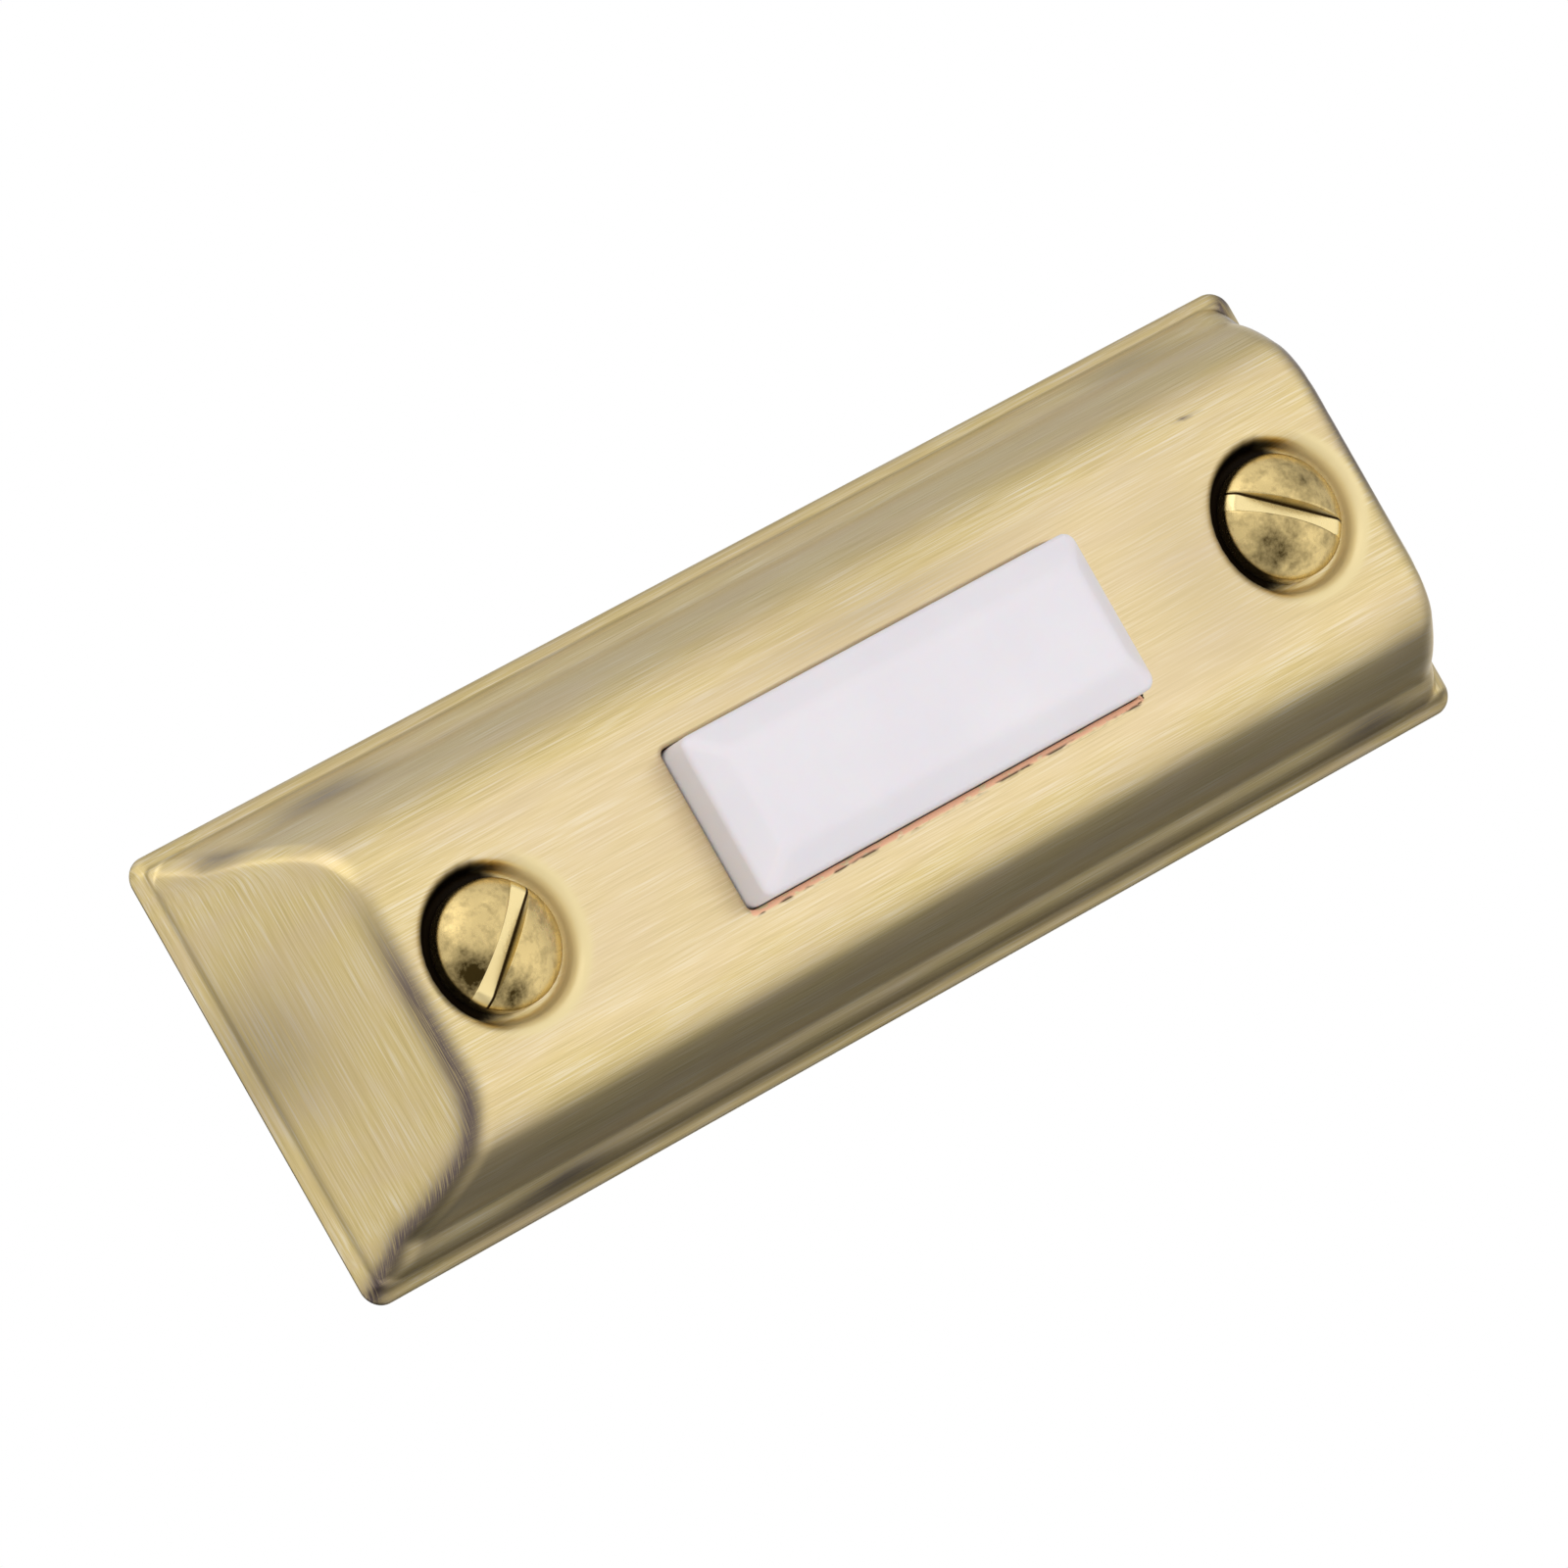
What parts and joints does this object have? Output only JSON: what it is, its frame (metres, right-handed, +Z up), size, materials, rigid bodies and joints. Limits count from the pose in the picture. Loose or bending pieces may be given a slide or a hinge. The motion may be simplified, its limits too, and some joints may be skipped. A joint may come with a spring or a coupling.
{
  "type": "doorbell push button",
  "caption": "Oblong brass-finished wall cover with a bevelled white push bar in its window, held by slotted round-head screws; the bar presses in and springs back.",
  "frame": {"origin": "centre of the back of the cover flange, on the wall surface, midway between the two mounting screws", "axes": "+Z up the wall along the plate's length, +Y into the wall, the face looks towards -Y"},
  "size_m": [0.0254, 0.0301, 0.073],
  "materials": {
    "antique_brass": "brushed antique brass plate on steel, lacquered",
    "white_bar": "moulded translucent white",
    "screw_brass": "turned yellow brass",
    "base_plastic": "moulded black phenolic",
    "bronze_strip": "rolled phosphor bronze",
    "contact_brass": "bright brass",
    "spring_steel": "drawn spring wire",
    "nickel_steel": "nickel-plated steel",
    "lamp_epoxy": "cast diffused epoxy",
    "tinned_wire": "tinned copper wire",
    "resistor_coat": "dipped tan lacquer"
  },
  "bodies": {
    "housing": {"cover_plate": "antique_brass", "contact_base": "base_plastic", "mounting_screw_top": "screw_brass", "mounting_screw_bottom": "screw_brass", "contact_rivet_top": "contact_brass", "contact_rivet_bottom": "contact_brass", "terminal_plate_top": "contact_brass", "terminal_plate_bottom": "contact_brass", "terminal_screw_top": "nickel_steel", "terminal_screw_bottom": "nickel_steel", "wire_clamp_top": "nickel_steel", "wire_clamp_bottom": "nickel_steel", "return_spring_top": "spring_steel", "return_spring_bottom": "spring_steel", "led_lens": "lamp_epoxy", "led_leads": "tinned_wire", "resistor_body": "resistor_coat", "resistor_leads": "tinned_wire"},
    "button": {"push_bar": "white_bar", "contact_bridge": "bronze_strip"}
  },
  "joints": [
    {"name": "bar_press", "type": "slide", "parent": "housing", "child": "button", "axis": [0, 1, 0], "range_m": [0, 0.0014], "stiffness_N_per_m": 700, "springref_m": -0.0015, "deforming": ["return_spring_top", "return_spring_bottom"]}
  ]
}
